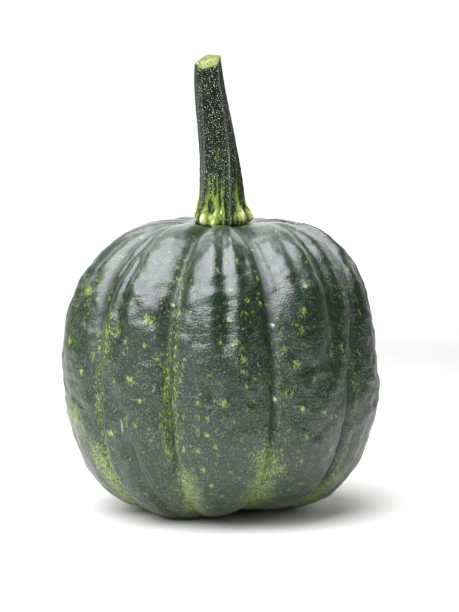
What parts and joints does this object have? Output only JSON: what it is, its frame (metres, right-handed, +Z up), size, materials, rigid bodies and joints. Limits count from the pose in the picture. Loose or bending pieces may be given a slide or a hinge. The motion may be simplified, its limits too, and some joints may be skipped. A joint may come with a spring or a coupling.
{
  "type": "kabocha squash",
  "caption": "Whole green squash, round and deeply lobed, standing on its lobes, with an upright ridged stem cut at a slant.",
  "frame": {"origin": "centre of the bounding box at its lowest level, which is the surface the squash rests on", "axes": "+Z up, along the fruit's axis from the blossom end to the stem; -Y is the front, with the paler and lower part of the slanted cut facing it; +X is the front's right"},
  "size_m": [0.159, 0.158, 0.2297],
  "materials": {
    "rind": "waxy satin",
    "stalk": "dull, rough"
  },
  "bodies": {
    "root": {"fruit": "rind", "stem": "stalk"}
  },
  "joints": []
}
